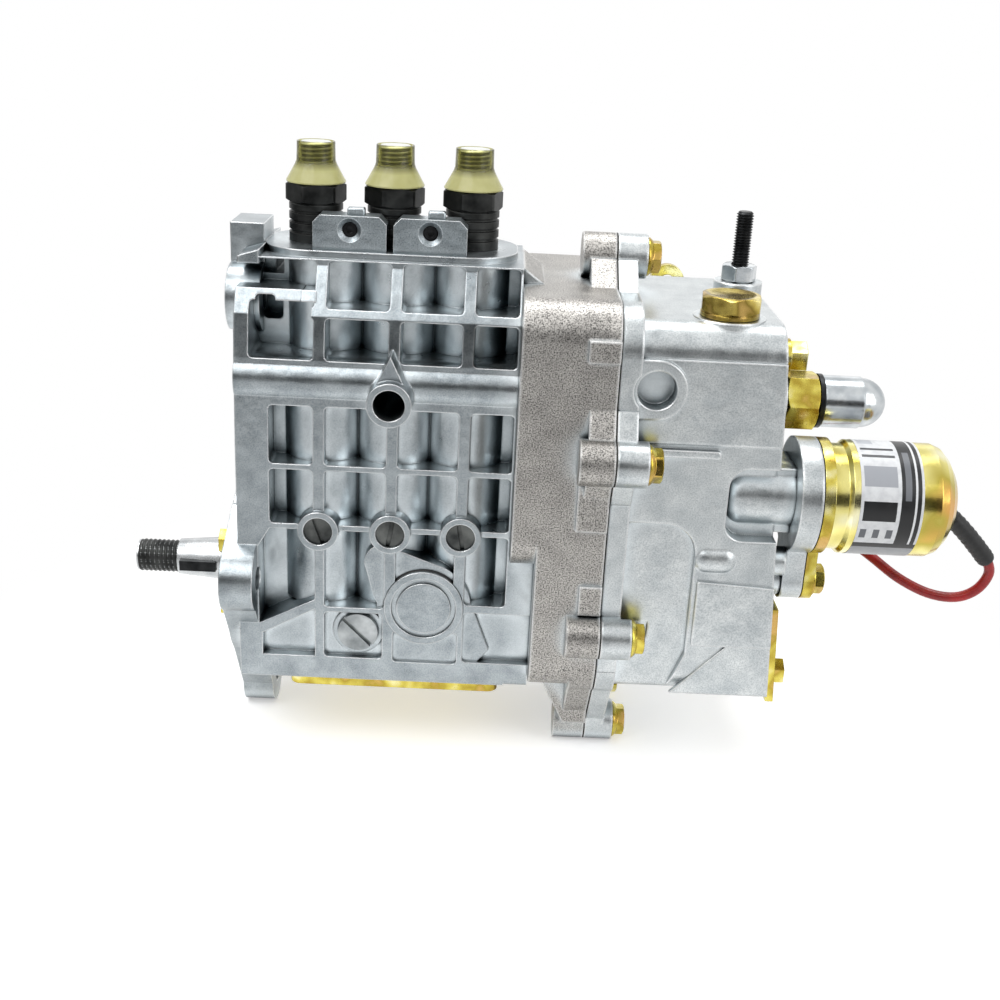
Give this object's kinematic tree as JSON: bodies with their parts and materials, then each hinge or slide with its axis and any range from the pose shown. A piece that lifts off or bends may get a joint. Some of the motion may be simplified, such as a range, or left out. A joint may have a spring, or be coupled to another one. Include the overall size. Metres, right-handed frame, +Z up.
{
  "type": "diesel injection pump",
  "caption": "In-line diesel injection pump with cast housing, cam-driven elements, flyweight governor, control levers and an electric stop solenoid on its end.",
  "frame": {"origin": "where the camshaft axis meets the mounting face of the flange", "axes": "+X along the camshaft from the flange to the governor, +Y to the side with the levers, +Z up to the delivery valves"},
  "size_m": [0.3256, 0.13, 0.2252],
  "materials": {
    "cast_aluminium": "satin",
    "yellow_zinc": "satin",
    "steel": "satin",
    "black_steel": "satin",
    "black_rubber": "matte",
    "cap_plastic": "satin",
    "red_plastic": "gloss",
    "black_plastic": "matte"
  },
  "bodies": {
    "housing": {"pump_body": "cast_aluminium", "bottom_cover": "yellow_zinc", "bottom_screws": "yellow_zinc", "core_plug": "cast_aluminium", "side_plug": "steel", "guide_screws": "steel", "front_bearing": "steel", "rear_bearing": "steel", "oil_seal": "black_rubber", "bearing_retainer": "steel", "retainer_bolts": "yellow_zinc", "upper_seats": "steel", "barrels": "steel", "valve_holders": "black_steel", "delivery_valves": "steel", "lock_plates": "cast_aluminium", "thread_caps": "cap_plastic", "governor_case": "cast_aluminium", "seam_gasket": "black_rubber", "governor_cover": "cast_aluminium", "seam_bolts": "yellow_zinc", "rear_plate": "yellow_zinc", "rear_plate_bolts": "yellow_zinc", "filler_plug": "yellow_zinc", "idle_screw": "black_steel", "idle_nut": "steel", "limiter_nut": "yellow_zinc", "limiter_washer": "black_steel", "limiter_cap": "steel", "shim_nut": "yellow_zinc", "solenoid_flange": "cast_aluminium", "solenoid_plate": "yellow_zinc", "solenoid_can": "yellow_zinc", "solenoid_bolts": "yellow_zinc", "lead_sleeve": "black_rubber", "lead_wires": "red_plastic", "lead_connector": "black_plastic", "tappet_1": "steel", "spring_1": "black_steel", "tappet_2": "steel", "spring_2": "black_steel", "tappet_3": "steel", "spring_3": "black_steel"},
    "camshaft": {"camshaft": "steel", "shaft_key": "black_steel", "weight_carrier": "steel"},
    "collar": {"governor_collar": "steel"},
    "flyweight_a": {"flyweight_1": "steel"},
    "flyweight_b": {"flyweight_2": "steel"},
    "sleeve_1": {"sleeve_1": "steel", "plunger_1": "steel"},
    "sleeve_2": {"sleeve_2": "steel", "plunger_2": "steel"},
    "sleeve_3": {"sleeve_3": "steel", "plunger_3": "steel"},
    "rack": {"control_rack": "steel"},
    "arm": {"governor_arm": "steel"},
    "stop_rod": {"solenoid_rod": "steel"},
    "speed_lever": {"speed_lever": "yellow_zinc"},
    "stop_lever": {"stop_lever": "yellow_zinc"}
  },
  "joints": [
    {"name": "camshaft_spin", "type": "hinge", "parent": "housing", "child": "camshaft", "pos_m": [0, 0, 0], "axis": [1, 0, 0], "continuous": true},
    {"name": "collar_slide", "type": "slide", "parent": "camshaft", "child": "collar", "axis": [1, 0, 0], "range_m": [0, 0.0012]},
    {"name": "flyweight_a_swing", "type": "hinge", "parent": "camshaft", "child": "flyweight_a", "pos_m": [0.126, 0.0125, 0], "axis": [0, 0, 1], "range_deg": [0, 12]},
    {"name": "flyweight_b_swing", "type": "hinge", "parent": "camshaft", "child": "flyweight_b", "pos_m": [0.126, -0.0125, 0], "axis": [0, 0, -1], "range_deg": [0, 12]},
    {"name": "rack_slide", "type": "slide", "parent": "housing", "child": "rack", "axis": [1, 0, 0], "range_m": [-0.004, 0.004]},
    {"name": "arm_swing", "type": "hinge", "parent": "housing", "child": "arm", "pos_m": [0.1528, 0, -0.008], "axis": [0, 1, 0], "range_deg": [-3, 3]},
    {"name": "sleeve_1_turn", "type": "hinge", "parent": "housing", "child": "sleeve_1", "pos_m": [0.029, 0, 0.072], "axis": [0, 0, 1], "range_deg": [-18, 18]},
    {"name": "sleeve_2_turn", "type": "hinge", "parent": "housing", "child": "sleeve_2", "pos_m": [0.057, 0, 0.072], "axis": [0, 0, 1], "range_deg": [-18, 18]},
    {"name": "sleeve_3_turn", "type": "hinge", "parent": "housing", "child": "sleeve_3", "pos_m": [0.085, 0, 0.072], "axis": [0, 0, 1], "range_deg": [-18, 18]},
    {"name": "stop_rod_slide", "type": "slide", "parent": "housing", "child": "stop_rod", "axis": [1, 0, 0], "range_m": [-0.01, 0], "stiffness_N_per_m": 300, "springref_m": 0.002},
    {"name": "speed_lever_turn", "type": "hinge", "parent": "housing", "child": "speed_lever", "pos_m": [0.172, 0.05, 0.062], "axis": [0, 1, 0], "range_deg": [-20, 30]},
    {"name": "stop_lever_turn", "type": "hinge", "parent": "housing", "child": "stop_lever", "pos_m": [0.172, 0.05, 0.018], "axis": [0, 1, 0], "range_deg": [-35, 0], "stiffness_Nm_per_rad": 0.2, "springref_deg": 17.19}
  ],
  "couplings": [
    {"joint": "flyweight_a_swing", "follows": "collar_slide", "rad_per_m": 174.5},
    {"joint": "flyweight_b_swing", "follows": "collar_slide", "rad_per_m": 174.5},
    {"joint": "sleeve_1_turn", "follows": "rack_slide", "rad_per_m": -76.9},
    {"joint": "sleeve_2_turn", "follows": "rack_slide", "rad_per_m": -76.9},
    {"joint": "sleeve_3_turn", "follows": "rack_slide", "rad_per_m": -76.9},
    {"joint": "arm_swing", "follows": "rack_slide", "rad_per_m": 11.6}
  ]
}
